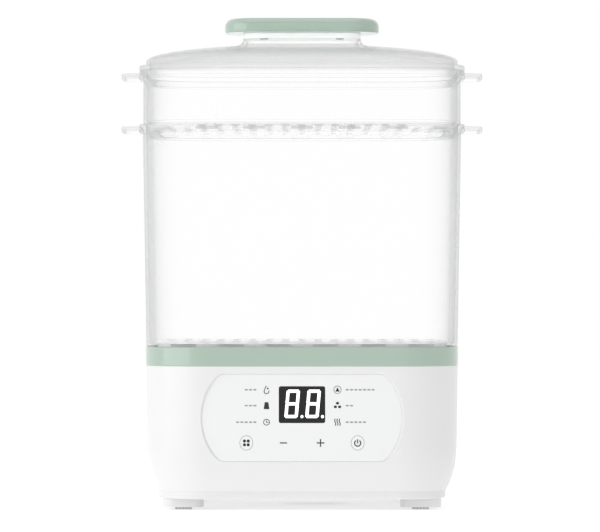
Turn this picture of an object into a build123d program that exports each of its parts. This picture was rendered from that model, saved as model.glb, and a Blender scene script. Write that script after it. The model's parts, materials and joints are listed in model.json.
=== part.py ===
from build123d import *
import os
from math import sqrt

# ----------------------------------------------------------------------------------------
# Bottle sterilizer, in millimetres: front is -Y, up is +Z, z = 0 is the surface it stands on.
# From the bottom up: base with water dish, heater and drying fan, open-bottomed chamber,
# upper tier with its tray, and lid. The upper pieces are stacked, and each lifts off.
# ----------------------------------------------------------------------------------------

# Plan outline that every shell follows, grown or shrunk evenly all round
body_width = 227.0
body_depth = 200.0
corner_radius = 45.0

# Heights of the stacked pieces
pad_height = 2.0
foot_height = 6.4
cover_height = 5.6
housing_height = 90.4
ring_height = 13.8
chamber_height = 161.8
tier_height = 39.0
lid_flange_height = 3.5
lid_skirt_height = 3.1
dome_height = 15.7
neck_top_height = 30.5      # neck's top above the lid's underside
handle_height = 10.5

# Clearances
lift_clearance = 0.3        # between stacked pieces that lift apart
drop_in_clearance = 0.4     # round the racks
fixed_clearance = 0.1       # between fixed pieces that are pushed together
shaft_clearance = 0.05      # radial, screws and the fan's shaft

# Base housing
housing_wall = 2.8
deck_thickness = 3.0
deck_ledge_width = 2.5
deck_ledge_height = 2.0
wall_draft = 0.7            # the walls lean in by this from the ring down to the curved foot
foot_curve_height = 31.0
foot_curve_inset = 7.6
foot_curve_steps = 6

# Bottom cover, feet and screws
cover_inset = 8.8
cover_wall = 2.5
cover_fillet = 1.2
foot_width = 29.5
foot_depth = 30.0
foot_corner = 8.0
foot_side_gap = 12.5        # foot's outer face to the body's side
foot_front_gap = 25.0
pad_width = 12.0
pad_inlay = 1.0
pad_rib = 1.2
pad_grooves = 4
pad_corner = 2.0
column_x = 92.0
column_y = 38.0
column_radius = 4.5
column_socket_radius = 7.0
column_socket_height = 5.0
screw_shank_radius = 1.5
screw_head_radius = 3.0
screw_head_height = 2.0
screw_length = 14.0
screw_socket_radius = 1.0
screw_hole_spare = 4.0      # a blind screw hole is this much deeper than its screw
vent_slot_length = 26.0
vent_slot_width = 2.4
vent_slot_pitch = 6.0
vent_slot_count = 7

# Green ring round the base's top
ring_proud = 0.4
ring_width = 5.7
ring_fillet = 0.8

# Chamber
shell_wall = 2.2
chamber_foot_grow = -0.1
chamber_top_grow = 2.5
spigot_depth = 8.0
rim_grow = 5.0
rim_height = 4.2

# Carrying ears
ear_reach = 19.8            # beyond the body's side
ear_root_half = 30.0
ear_tip_half = 20.0
ear_corner = 7.0
ear_wall = 2.0
ear_pocket_depth = 2.4

# Upper tier
tier_grow = 2.1
tier_skirt_depth = 6.5
tier_skirt_wall = 2.0
tier_ledge_width = 7.0
tier_ledge_height = 1.8

# Racks
rack_plate = 2.0
rack_skirt_wall = 2.0
rack_slot_width = 6.0
rack_slot_length = 21.0
rack_slot_pitch_x = 12.0
rack_slot_pitch_y = 27.0
rack_edge_margin = 5.0
window_length = 18.5
window_pitch = 34.3
window_count = 6
window_height = 2.2
tray_rise = 4.2             # upper tray's plate top above the tier's ledge
bottle_rack_rise = 18.1     # bottle rack's plate top above the deck
peg_radius = 1.1
peg_height = 17.0
peg_x = -64.0
peg_y = -40.0

# Lid
lid_wall = 2.2
lid_lip_depth = 6.0
lid_lip_wall = 2.0
dome_power = 1.35           # how full the dome is
dome_steps = 12
dome_top_share = 0.94       # the dome's flat top starts at this share of its height
neck_width = 87.0
neck_depth = 38.0
neck_corner = 14.0
neck_wall = 2.2
vent_hole_width = 12.0
vent_hole_height = 3.0
vent_hole_pitch = 20.0
vent_hole_count = 3
vent_hole_drop = 2.5         # below the neck's ceiling

# Lid handle
handle_width = 114.0
handle_depth = 56.0
handle_corner = 22.0
handle_wall = 3.0
handle_top_fillet = 6.0
handle_rim_fillet = 1.2
handle_boss_radius = 5.0
handle_screw_x = 28.0
handle_hollow_inset = 3.0   # in from the neck's outline

# Control panel in the front
panel_width = 143.8
panel_straight = 118.0
panel_height = 62.6
panel_corner = 9.0
panel_z = 67.3
panel_recess = 1.0
panel_thickness = 2.0
panel_window_width = 94.0    # opening behind the panel, between the board's posts
panel_window_height = 54.0
panel_ledge_depth = 2.0
panel_frame_margin = 3.0     # width of the thicker wall round the panel
panel_rim_slope = 1.0
display_width = 33.2
display_height = 26.3
display_z = 76.9
display_corner = 1.5
display_window_thickness = 1.6
board_width = 112.0
board_height = 46.0
board_thickness = 1.6
board_gap = 9.6             # panel's back to the control board's front
board_post_radius = 3.5
board_corner = 2.0
board_screw_length = 6.0
key_pitch = 26.67
key_count = 4
key_z = 49.4
key_contact_radius = 3.5
lamp_x = 25.5
lamp_rows = (64.3, 76.2, 87.6)
lamp_radius = 1.5
lamp_length = 6.0
buzzer_radius = 6.0
buzzer_height = 7.0

# Water dish and its heater
dish_y = -12.0
dish_radius = 68.0
dish_flange_width = 8.0
dish_depth = 9.0
dish_metal = 0.8
dish_fillet = 3.0
dish_hole_clearance = 3.0
seal_height = 1.0
seal_width = 3.5
clamp_height = 3.0
clamp_width = 6.0
clamp_tab_reach = 8.0
clamp_tab_width = 12.0
clamp_tabs = 3
element_radius = 45.0
element_tube_radius = 3.5
element_sweep = 300.0
terminal_radius = 2.2
terminal_length = 12.0
thermostat_radius = 8.0
thermostat_height = 9.0
fuse_radius = 2.0
fuse_length = 11.0
fuse_x = 24.0
fuse_strap_width = 5.0
fuse_strap_metal = 1.0
fuse_strap_foot = 5.0

# Drying fan, its duct and heater
fan_x = 10.0
fan_y = 20.0
fan_floor_rise = 4.0        # fan's bottom above the bottom cover's floor
fan_radius = 36.0
fan_height = 28.0
fan_post_radius = 4.0
fan_post_inset = 8.0
fan_wall = 2.0
fan_outlet_width = 26.0
fan_intake_radius = 23.0
impeller_radius = 29.0
impeller_eye_radius = 22.0
impeller_height = 14.0
impeller_gap = 2.0
impeller_blades = 24
impeller_plate = 1.5
impeller_rim_width = 3.0
blade_angle = 35.0
blade_thickness = 1.0
hub_radius = 7.0
shaft_radius = 1.5
motor_radius = 13.0
motor_height = 7.0
duct_depth = 24.0
duct_wall = 1.8
duct_rear_gap = 12.0        # duct's back to the body's back
air_heater_height = 18.0
air_heater_z = 60.0
fin_count = 6
fin_gap = 2.4
outlet_height = 9.0
louvre_height = 3.0
outlet_roof = 1.8
outlet_corner = 3.0
louvre_count = 4
louvre_width = 4.0

# Power electronics
power_board_x = -57.0
power_board_y = -34.0
power_board_width = 52.0
power_board_length = 64.0
power_post_height = 8.0
power_post_radius = 3.0
power_post_inset = 4.0
transformer_size = (22.0, 20.0, 17.0)
transformer_place = (-8.0, -14.0)      # from the board's middle
relay_size = (16.0, 19.0, 15.0)
relay_place = (12.0, -12.0)
capacitor_place = (-8.0, 14.0)
component_fillet = 0.8
capacitor_radius = 5.0
capacitor_height = 16.0

# Air filter in the back
filter_x = -40.0
filter_z = 70.0
filter_width = 50.0
filter_height = 34.0
filter_thickness = 10.0
filter_cover_margin = 5.0
filter_cover_thickness = 1.6
filter_cover_setback = 0.7  # cover's face in from the body's back
filter_pocket_wall = 2.0
filter_louvres = 6
filter_louvre_height = 2.2
filter_louvre_pitch = 5.0

# Cord gland in the back
gland_x = 58.0
gland_z = 32.0
gland_bore = 4.0
gland_neck_radius = 6.0
gland_flange_radius = 8.5
gland_flange = 2.4
gland_boss_radius = 9.5
gland_boss_depth = 6.0
gland_setback = 0.6         # boss's face in from the body's back
gland_nut_height = 3.0

# ----------------------------------------------------------------------------------------
# Heights and places that follow from them
# ----------------------------------------------------------------------------------------
z_foot = pad_height
z_cover = z_foot + foot_height
z_floor = z_cover + cover_wall
z_housing = z_cover + cover_height
z_curve_top = z_housing + foot_curve_height
z_ring = z_housing + housing_height
z_deck = z_ring - deck_thickness
z_chamber = z_ring + ring_height
z_rim = z_chamber + chamber_height
z_tier_rim = z_rim + tier_height
z_flange = z_tier_rim + lid_flange_height
z_dome = z_flange + lid_skirt_height
z_neck = z_tier_rim + neck_top_height
z_ledge = z_rim - tier_skirt_depth + tier_ledge_height
z_tray = z_ledge + tray_rise
z_bottle_rack = z_ring + bottle_rack_rise

half_width = body_width / 2
half_depth = body_depth / 2
panel_face = -half_depth + wall_draft + panel_recess
panel_back = panel_face + panel_thickness
board_front = panel_back + board_gap
board_back = board_front + board_thickness
ring_inner_grow = ring_proud - ring_width
spigot_grow = ring_inner_grow - lift_clearance
rack_grow = spigot_grow - shell_wall - drop_in_clearance
tier_inner_grow = tier_grow - shell_wall
fan_bottom = z_floor + fan_floor_rise
fan_top = fan_bottom + fan_height
impeller_bottom = fan_bottom + fan_wall + motor_height + impeller_gap
power_board_bottom = z_floor + power_post_height
power_board_top = power_board_bottom + board_thickness
outlet_x0 = fan_x + fan_radius - fan_outlet_width
outlet_x1 = fan_x + fan_radius
duct_y1 = half_depth - duct_rear_gap
duct_y0 = duct_y1 - duct_depth
dish_floor = z_ring - dish_depth
gland_face = half_depth - gland_setback
filter_cover_face = half_depth - filter_cover_setback
filter_cover_back = filter_cover_face - filter_cover_thickness


# ----------------------------------------------------------------------------------------
# Helpers
# ----------------------------------------------------------------------------------------
def outline(grow, z):
    """The body's plan outline at height z, grown evenly all round."""
    return Pos(0, 0, z) * RectangleRounded(body_width + 2 * grow, body_depth + 2 * grow, corner_radius + grow)


def slab(grow, z0, z1):
    return extrude(outline(grow, z0), z1 - z0)


def hoop(outer_grow, inner_grow, z0, z1):
    return slab(outer_grow, z0, z1) - slab(inner_grow, z0, z1)


def taper(grow0, z0, grow1, z1):
    return loft([outline(grow0, z0), outline(grow1, z1)])


def block(x, y, z):
    """A box between two values on each axis, each given as a pair."""
    centre = Pos((x[0] + x[1]) / 2, (y[0] + y[1]) / 2, (z[0] + z[1]) / 2)
    return centre * Box(x[1] - x[0], y[1] - y[0], z[1] - z[0])


def post(radius, z0, z1, x=0.0, y=0.0):
    return Pos(x, y, (z0 + z1) / 2) * Cylinder(radius, z1 - z0)


def rod_y(radius, y0, y1, x, z):
    """A cylinder along Y."""
    return Pos(x, (y0 + y1) / 2, z) * Rot(90, 0, 0) * Cylinder(radius, y1 - y0)


def front_prism(sketch, y0, y1):
    """A sketch drawn in X and Z, given depth from y0 to y1."""
    return extrude(Plane.XZ.offset(-y0) * sketch, y0 - y1)


def fits_plan(x, y, half_x, half_y, grow):
    """Whether a rectangle centred on x, y lies inside the outline grown by grow."""
    corner = corner_radius + grow
    over_x = abs(x) + half_x - (half_width + grow - corner)
    over_y = abs(y) + half_y - (half_depth + grow - corner)
    if over_x > corner or over_y > corner:
        return False
    return over_x <= 0 or over_y <= 0 or over_x ** 2 + over_y ** 2 <= corner ** 2


def screw(z, length):
    """A screw pointing up, its head's face at z, with a driver socket in the head."""
    shoulder = z + screw_head_height
    head = post(screw_head_radius, z, shoulder)
    socket = post(screw_socket_radius, z, z + screw_head_height / 2)
    return head + post(screw_shank_radius, shoulder, shoulder + length) - socket


# ----------------------------------------------------------------------------------------
# Base housing
# ----------------------------------------------------------------------------------------
def housing_form(inset):
    """The housing's outside, or its inside when inset: upright walls above a curved foot."""
    radius = (foot_curve_height ** 2 + foot_curve_inset ** 2) / (2 * foot_curve_inset)
    sections = []
    for step in range(foot_curve_steps + 1):
        drop = foot_curve_height * (1 - step / foot_curve_steps)
        curve_inset = radius - sqrt(radius ** 2 - drop ** 2)
        sections.append(outline(-wall_draft - curve_inset - inset, z_curve_top - drop))
    return loft(sections) + taper(-wall_draft - inset, z_curve_top, -inset, z_ring)


def panel_outline(margin):
    """The control panel: straight top and bottom, bowed ends and rounded corners."""
    half_x = panel_straight / 2
    half_z = panel_height / 2 + margin
    bulge = panel_width / 2 + margin
    edges = Line((-half_x, half_z), (half_x, half_z))
    edges += ThreePointArc((half_x, half_z), (bulge, 0), (half_x, -half_z))
    edges += Line((half_x, -half_z), (-half_x, -half_z))
    edges += ThreePointArc((-half_x, -half_z), (-bulge, 0), (-half_x, half_z))
    face = make_face(edges)
    return Pos(0, panel_z) * fillet(face.vertices(), panel_corner + margin)


def panel_pocket():
    """What is cut from the housing's front: a sloping rim, the panel's seat and a window behind it."""
    front = -half_depth - 1
    depth = panel_face - front
    rim = loft([
        Plane.XZ.offset(-front) * panel_outline(fixed_clearance + panel_rim_slope * depth / panel_recess),
        Plane.XZ.offset(-panel_face) * panel_outline(fixed_clearance),
    ])
    seat = front_prism(panel_outline(fixed_clearance), panel_face, panel_back)
    opening = Pos(0, panel_z) * RectangleRounded(panel_window_width, panel_window_height, panel_corner)
    window = front_prism(opening, panel_back, panel_back + 2 * panel_ledge_depth)
    return rim + seat + window


def column_places():
    return [(x, y) for x in (-column_x, column_x) for y in (-column_y, column_y)]


def board_post_places():
    half_x = board_width / 2 - board_post_radius
    half_z = board_height / 2 - board_post_radius
    return [(x, panel_z + z) for x in (-half_x, half_x) for z in (-half_z, half_z)]


def filter_rect(margin):
    return Pos(filter_x, filter_z) * Rectangle(filter_width + 2 * margin, filter_height + 2 * margin)


def base_housing():
    """The outer wall: open above and below, with seats for the panel, deck, filter cover and gland."""
    body = housing_form(0) - housing_form(housing_wall)
    body += hoop(-housing_wall / 2, -housing_wall - deck_ledge_width, z_deck - deck_ledge_height, z_deck)
    frame = front_prism(panel_outline(panel_frame_margin), panel_face + 1, panel_back + panel_ledge_depth)
    body += frame & housing_form(housing_wall / 2) & slab(0, z_housing, z_deck)
    for x, z in board_post_places():
        body += rod_y(board_post_radius, panel_back + 0.5, board_front, x, z)
    body += rod_y(gland_boss_radius, gland_face - gland_boss_depth, gland_face, gland_x, gland_z)
    body -= panel_pocket()
    for x, z in board_post_places():
        body -= rod_y(screw_shank_radius + shaft_clearance, board_front - board_screw_length - 2, board_front,
                      x, z)
    body -= front_prism(filter_rect(drop_in_clearance), half_depth - 2 * housing_wall, half_depth + 1)
    cover_seat = filter_rect(filter_cover_margin + drop_in_clearance)
    body -= front_prism(cover_seat, filter_cover_back, half_depth + 1)
    return body - rod_y(gland_neck_radius + fixed_clearance, gland_face - gland_boss_depth - 1,
                        half_depth + 1, gland_x, gland_z)


def deck():
    """The floor of the steam space, on the housing's ledge, with columns that the cover screws to."""
    plate = slab(-housing_wall - fixed_clearance, z_deck, z_ring)
    for x, y in column_places():
        plate += post(column_radius, z_floor + column_socket_height, z_deck + 1, x, y)
    hole = dish_radius + dish_hole_clearance
    plate -= post(hole, z_deck - 1, z_ring + 1, 0, dish_y)
    plate -= post(hole + seal_width, z_ring - seal_height, z_ring + 1, 0, dish_y)
    plate -= block((outlet_x0 + duct_wall, outlet_x1 - duct_wall), (duct_y0 + duct_wall, duct_y1 - duct_wall),
                   (z_deck - 1, z_ring + 1))
    for x, y in column_places():
        plate -= post(screw_shank_radius + shaft_clearance, z_floor,
                      z_cover + screw_head_height + screw_length + screw_hole_spare, x, y)
    return plate


def filter_frame():
    """The pocket behind the back wall that the filter slides into, open to the fan's side."""
    depth = filter_thickness + 2 * drop_in_clearance + filter_pocket_wall
    y0 = filter_cover_back - depth
    frame = front_prism(filter_rect(drop_in_clearance + filter_pocket_wall), y0, half_depth)
    frame = frame & housing_form(housing_wall)
    frame -= front_prism(filter_rect(drop_in_clearance), y0 + filter_pocket_wall, half_depth + 1)
    return frame - front_prism(filter_rect(-filter_pocket_wall), y0 - 1, half_depth)


def trim_ring():
    ring = slab(ring_proud, z_ring, z_chamber)
    ring = fillet(ring.faces().sort_by(Axis.Z)[-1].edges(), ring_fillet)
    ring = fillet(ring.faces().sort_by(Axis.Z)[0].edges(), ring_fillet)
    return ring - slab(ring_inner_grow, z_ring - 1, z_chamber + 1)


# ----------------------------------------------------------------------------------------
# Bottom cover, feet and screws
# ----------------------------------------------------------------------------------------
def foot_places():
    x = half_width - foot_side_gap - foot_width / 2
    y = half_depth - foot_front_gap - foot_depth / 2
    return [(sx * x, sy * y) for sx in (-1, 1) for sy in (-1, 1)]


def bottom_cover():
    cover = slab(-cover_inset, z_cover, z_housing)
    cover = fillet(cover.faces().sort_by(Axis.Z)[0].edges(), cover_fillet)
    cover -= slab(-cover_inset - cover_wall, z_floor, z_housing + 1)
    for x, y in foot_places():
        plan = RectangleRounded(foot_width, foot_depth, foot_corner)
        cover += extrude(Pos(x, y, z_foot) * plan, foot_height + 1)
        seat = pad_width + 2 * fixed_clearance
        cover -= extrude(Pos(x, y, 0) * RectangleRounded(seat, seat, pad_corner), z_foot + pad_inlay)
    for x, y in column_places():
        cover += post(column_socket_radius, z_floor, z_floor + column_socket_height, x, y)
    for x, y in fan_post_places():
        cover += post(fan_post_radius, z_floor - 1, fan_bottom, x, y)
    for x, y in power_post_places():
        cover += post(power_post_radius, z_floor - 1, power_board_bottom, x, y)
    for x, y in column_places():
        cover -= post(screw_shank_radius + shaft_clearance, 0, z_housing + 10, x, y)
        cover -= post(screw_head_radius + fixed_clearance, 0, z_cover + screw_head_height, x, y)
    slot = SlotOverall(vent_slot_length, vent_slot_width, rotation=90)
    for place in GridLocations(vent_slot_pitch, 0, vent_slot_count, 1):
        cover -= extrude(Pos(fan_x, fan_y, z_cover - 1) * place * slot, cover_wall + 2)
    return cover


def foot_pads():
    pads = Part()
    for x, y in foot_places():
        pad = extrude(Pos(x, y, 0) * RectangleRounded(pad_width, pad_width, pad_corner), z_foot + pad_inlay)
        for groove in GridLocations(2 * pad_rib, 0, pad_grooves, 1):
            pad -= Pos(x, y, 0) * groove * Box(pad_rib, pad_width + 2, pad_rib)
        pads += pad
    return pads


def fan_post_places():
    reach = fan_radius - fan_post_inset
    return [(fan_x - reach, fan_y), (fan_x, fan_y - reach), (fan_x + reach, fan_y)]


def power_post_places():
    half_x = power_board_width / 2 - power_post_inset
    half_y = power_board_length / 2 - power_post_inset
    return [(power_board_x + x, power_board_y + y) for x in (-half_x, half_x) for y in (-half_y, half_y)]


def group(places, shape):
    """Copies of one small piece, as separate solids of one node."""
    return Compound(children=[Pos(*place) * shape for place in places])


def base_screws():
    return group([(x, y, 0) for x, y in column_places()], screw(z_cover, screw_length))


# ----------------------------------------------------------------------------------------
# Chamber, upper tier and racks
# ----------------------------------------------------------------------------------------
def ears(z_top):
    """A carrying ear on each side, hollow underneath."""
    pieces = Part()
    for side in (-1, 1):
        root_x = side * (half_width - 2)
        tip_x = side * (half_width + ear_reach)
        plan = make_face(Polyline((root_x, -ear_root_half), (tip_x, -ear_tip_half), (tip_x, ear_tip_half),
                                  (root_x, ear_root_half), close=True))
        tip_corners = plan.vertices().sort_by(Axis.X)
        plan = fillet(tip_corners[-2:] if side > 0 else tip_corners[:2], ear_corner)
        ear = extrude(Pos(0, 0, z_top - rim_height) * plan, rim_height)
        pocket = extrude(Pos(0, 0, z_top - rim_height - 1) * offset(plan, -ear_wall), ear_pocket_depth + 1)
        pieces += ear - pocket
    return pieces


def chamber_inner_grow(z):
    share = (z - z_chamber) / chamber_height
    return chamber_foot_grow + share * (chamber_top_grow - chamber_foot_grow) - shell_wall


def chamber():
    wall = taper(chamber_foot_grow, z_chamber, chamber_top_grow, z_rim)
    inside = taper(chamber_inner_grow(z_chamber), z_chamber, chamber_inner_grow(z_rim), z_rim)
    rim = slab(rim_grow, z_rim - rim_height, z_rim) + ears(z_rim)
    rim = rim - taper(chamber_top_grow - 0.5, z_rim - rim_height - 1, chamber_top_grow - 0.5, z_rim + 1)
    body = (wall - inside) + rim
    body += hoop(chamber_foot_grow, spigot_grow - shell_wall, z_chamber, z_chamber + shell_wall)
    body += hoop(spigot_grow, spigot_grow - shell_wall, z_chamber - spigot_depth, z_chamber + shell_wall)
    return body


def upper_tier():
    skirt_bottom = z_rim - tier_skirt_depth
    skirt_grow = chamber_inner_grow(skirt_bottom) - lift_clearance
    skirt_inner = skirt_grow - tier_skirt_wall
    body = hoop(tier_grow, tier_inner_grow, z_rim, z_tier_rim)
    body += hoop(tier_grow, skirt_inner, z_rim, z_rim + tier_skirt_wall)
    body += hoop(skirt_grow, skirt_inner, skirt_bottom, z_rim + 1)
    body += hoop(skirt_grow, skirt_inner - tier_ledge_width, skirt_bottom, z_ledge)
    rim = slab(rim_grow, z_tier_rim - rim_height, z_tier_rim) + ears(z_tier_rim)
    return body + (rim - slab(tier_grow - 0.5, z_rim, z_tier_rim + 1))


def rack(grow, z_bottom, z_top):
    """A slotted rack: a flat plate on a skirt with a row of drain windows under its edge."""
    plate_bottom = z_top - rack_plate
    body = slab(grow, z_bottom, z_top) - slab(grow - rack_skirt_wall, z_bottom - 1, plate_bottom)
    slot = SlotOverall(rack_slot_length, rack_slot_width, rotation=90)
    cutters = []
    columns = int(half_width / rack_slot_pitch_x)
    rows = int(half_depth / rack_slot_pitch_y)
    for column in range(-columns, columns + 1):
        for row in range(-rows, rows + 1):
            x = column * rack_slot_pitch_x
            y = row * rack_slot_pitch_y
            if fits_plan(x, y, rack_slot_width / 2, rack_slot_length / 2, grow - rack_edge_margin):
                cutters.append(extrude(Pos(x, y, plate_bottom - 1) * slot, rack_plate + 2))
    window_z = (plate_bottom - window_height, plate_bottom)
    for index in range(window_count):
        x = (index - (window_count - 1) / 2) * window_pitch
        half = window_length / 2
        cutters.append(block((x - half, x + half), (-body_depth, body_depth), window_z)
                       - slab(grow - rack_skirt_wall - 1, *window_z))
    return body - cutters


def bottle_rack():
    return rack(rack_grow, z_ring, z_bottle_rack)


def upper_tray():
    skirt_grow = chamber_inner_grow(z_rim - tier_skirt_depth) - lift_clearance
    grow = skirt_grow - tier_skirt_wall - drop_in_clearance
    return rack(grow, z_ledge, z_tray) + post(peg_radius, z_tray - 0.5, z_tray + peg_height, peg_x, peg_y)


# ----------------------------------------------------------------------------------------
# Lid and its handle
# ----------------------------------------------------------------------------------------
def dome(grow, z0, height):
    """A pillow-shaped dome on the outline grown by grow, its top rounded over."""
    sections = []
    for step in range(dome_steps + 1):
        share = dome_top_share * step / dome_steps
        scale = (1 - share ** 2) ** (1 / dome_power)
        plan = RectangleRounded(scale * (body_width + 2 * grow), scale * (body_depth + 2 * grow),
                                scale * (corner_radius + grow))
        sections.append(Pos(0, 0, z0 + share * height) * plan)
    return loft(sections, ruled=True)


def lid_shell():
    outside = slab(0, z_tier_rim, z_dome) + dome(0, z_dome, dome_height)
    outside += slab(rim_grow, z_tier_rim, z_flange)
    inside = slab(-lid_wall, z_tier_rim - 1, z_dome) + dome(-lid_wall, z_dome, dome_height - lid_wall)
    neck_plan = RectangleRounded(neck_width, neck_depth, neck_corner)
    neck_hole = RectangleRounded(neck_width - 2 * neck_wall, neck_depth - 2 * neck_wall,
                                 neck_corner - neck_wall)
    neck_base = z_dome + dome_height / 2
    body = outside + extrude(Pos(0, 0, neck_base) * neck_plan, z_neck - neck_base)
    body -= inside
    body -= extrude(Pos(0, 0, neck_base - 2) * neck_hole, z_neck - neck_wall - neck_base + 2)
    lip_grow = tier_inner_grow - lift_clearance
    body += hoop(lip_grow, lip_grow - lid_lip_wall, z_tier_rim - lid_lip_depth, z_tier_rim + 1)
    for x in (-handle_screw_x, handle_screw_x):
        body -= post(screw_shank_radius + shaft_clearance, z_neck - 5, z_neck + 1, x, 0)
    vent = Pos(0, z_neck - neck_wall - vent_hole_drop) * SlotOverall(vent_hole_width, vent_hole_height)
    for place in GridLocations(vent_hole_pitch, 0, vent_hole_count, 1):
        body -= front_prism(place * vent, neck_depth / 2 - neck_wall - 1, neck_depth / 2 + 1)
    return body


def lid_handle():
    z_top = z_neck + handle_height
    plan = RectangleRounded(handle_width, handle_depth, handle_corner)
    cap = extrude(Pos(0, 0, z_neck) * plan, handle_height)
    cap = fillet(cap.faces().sort_by(Axis.Z)[-1].edges(), handle_top_fillet)
    cap = fillet(cap.faces().sort_by(Axis.Z)[0].edges(), handle_rim_fillet)
    hollow_plan = RectangleRounded(neck_width - 2 * handle_hollow_inset, neck_depth - 2 * handle_hollow_inset,
                                   neck_corner - handle_hollow_inset)
    cap -= extrude(Pos(0, 0, z_neck - 1) * hollow_plan, handle_height - handle_wall + 1)
    for x in (-handle_screw_x, handle_screw_x):
        cap += post(handle_boss_radius, z_neck, z_top - handle_wall / 2, x, 0)
        cap -= post(screw_shank_radius + shaft_clearance, z_neck - 1, z_top - handle_wall, x, 0)
    return cap


def handle_screws():
    head_face = z_neck - neck_wall - screw_head_height
    length = handle_height - handle_wall + neck_wall - 0.5
    return group([(x, 0, 0) for x in (-handle_screw_x, handle_screw_x)], screw(head_face, length))


# ----------------------------------------------------------------------------------------
# Control panel and what is behind it
# ----------------------------------------------------------------------------------------
def display_rect(margin, corner=display_corner):
    rect = RectangleRounded(display_width + 2 * margin, display_height + 2 * margin, corner)
    return Pos(0, display_z) * rect


def control_panel():
    return front_prism(panel_outline(0), panel_face, panel_back) - front_prism(
        display_rect(fixed_clearance), panel_face - 1, panel_back + 1)


def display_window():
    return front_prism(display_rect(0), panel_face, panel_face + display_window_thickness)


def display_module():
    front = panel_face + display_window_thickness
    return front_prism(display_rect(-1, 1.0), front, board_front)


def key_places():
    return [((index - (key_count - 1) / 2) * key_pitch, key_z) for index in range(key_count)]


def touch_contacts():
    contact = rod_y(key_contact_radius, panel_back, board_front, 0, 0)
    return group([(x, 0, z) for x, z in key_places()], contact)


def indicator_lamps():
    dome_end = Pos(0, board_front - lamp_length, 0) * Sphere(lamp_radius)
    lamp = rod_y(lamp_radius, board_front - lamp_length, board_front, 0, 0) + dome_end
    return group([(x, 0, z) for x in (-lamp_x, lamp_x) for z in lamp_rows], lamp)


def control_board():
    plan = Pos(0, panel_z) * RectangleRounded(board_width, board_height, board_corner)
    board = front_prism(plan, board_front, board_back)
    for x, z in board_post_places():
        board -= rod_y(screw_shank_radius + shaft_clearance, board_front - 1, board_back + 1, x, z)
    return board


def board_screws():
    head = rod_y(screw_head_radius, board_back, board_back + screw_head_height, 0, 0)
    shank = rod_y(screw_shank_radius, board_front - board_screw_length, board_back, 0, 0)
    return group([(x, 0, z) for x, z in board_post_places()], head + shank)


def buzzer():
    body = rod_y(buzzer_radius, board_back, board_back + buzzer_height, -board_width / 3, panel_z)
    return body - rod_y(1.0, board_back + buzzer_height - 1, board_back + buzzer_height + 1,
                        -board_width / 3, panel_z)


# ----------------------------------------------------------------------------------------
# Water dish and its heater
# ----------------------------------------------------------------------------------------
def dish_ring(outer, inner, z0, z1):
    return post(outer, z0, z1, 0, dish_y) - post(inner, z0 - 1, z1 + 1, 0, dish_y)


def heating_plate():
    well = post(dish_radius, dish_floor, z_ring + dish_metal, 0, dish_y)
    well = fillet(well.faces().sort_by(Axis.Z)[0].edges(), dish_fillet)
    inner = post(dish_radius - dish_metal, dish_floor + dish_metal, z_ring + 2, 0, dish_y)
    inner = fillet(inner.faces().sort_by(Axis.Z)[0].edges(), dish_fillet - dish_metal)
    flange = post(dish_radius + dish_flange_width, z_ring, z_ring + dish_metal, 0, dish_y)
    return flange + well - inner


def plate_seal():
    inner = dish_radius + dish_hole_clearance
    return dish_ring(inner + seal_width - fixed_clearance, inner, z_ring - seal_height, z_ring)


def plate_clamp():
    """A ring pushed onto the dish from below, with tabs that bear on the deck."""
    inner = dish_radius + fixed_clearance
    ring = dish_ring(inner + clamp_width, inner, z_deck - clamp_height, z_deck)
    tab = Pos(inner + clamp_width, 0, z_deck - clamp_height / 2) * Box(clamp_tab_reach, clamp_tab_width,
                                                                       clamp_height)
    for index in range(clamp_tabs):
        ring += Pos(0, dish_y, 0) * Rot(0, 0, 90 + 360 / clamp_tabs * index) * tab
    return ring


def heating_element():
    z = dish_floor - element_tube_radius
    ring = revolve(Plane.XZ * Pos(element_radius, 0) * Circle(element_tube_radius), Axis.Z, element_sweep)
    ring = Pos(0, dish_y, z) * ring
    for turn in (0, element_sweep):
        end = Rot(0, 0, turn) * Pos(element_radius, 0, 0)
        ring += Pos(0, dish_y, z - terminal_length / 2) * end * Cylinder(terminal_radius, terminal_length)
    return ring


def thermostat():
    return post(thermostat_radius, dish_floor - thermostat_height, dish_floor, 0, dish_y) + group(
        [(-4, dish_y, 0), (4, dish_y, 0)],
        block((-0.4, 0.4), (-3, 3), (dish_floor - thermostat_height - 7, dish_floor - thermostat_height + 1)))


def thermal_fuse():
    half = fuse_length / 2
    return rod_y(fuse_radius, dish_y - half, dish_y + half, fuse_x, dish_floor - fuse_radius)


def fuse_strap():
    """A bent metal strap that holds the fuse up against the dish."""
    inner = fuse_radius + fixed_clearance
    outer = inner + fuse_strap_metal
    bottom = dish_floor - fuse_radius - outer
    y = (dish_y - fuse_strap_width / 2, dish_y + fuse_strap_width / 2)
    strap = block((fuse_x - outer, fuse_x + outer), y, (bottom, dish_floor))
    strap += block((fuse_x - outer - fuse_strap_foot, fuse_x + outer + fuse_strap_foot), y,
                   (dish_floor - fuse_strap_metal, dish_floor))
    return strap - block((fuse_x - inner, fuse_x + inner), (y[0] - 1, y[1] + 1),
                         (bottom + fuse_strap_metal, dish_floor + 1))


# ----------------------------------------------------------------------------------------
# Drying fan, duct and air heater
# ----------------------------------------------------------------------------------------
def fan_case():
    """The fan's open-topped case, with its outlet to the duct."""
    case = post(fan_radius, fan_bottom, fan_top - fan_wall, fan_x, fan_y)
    case += block((outlet_x0, outlet_x1), (fan_y, duct_y0), (fan_bottom, fan_top - fan_wall))
    hollow = post(fan_radius - fan_wall, fan_bottom + fan_wall, fan_top, fan_x, fan_y)
    hollow += block((outlet_x0 + fan_wall, outlet_x1 - fan_wall), (fan_y, duct_y0 + 1),
                    (fan_bottom + fan_wall, fan_top))
    return case - hollow


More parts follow.
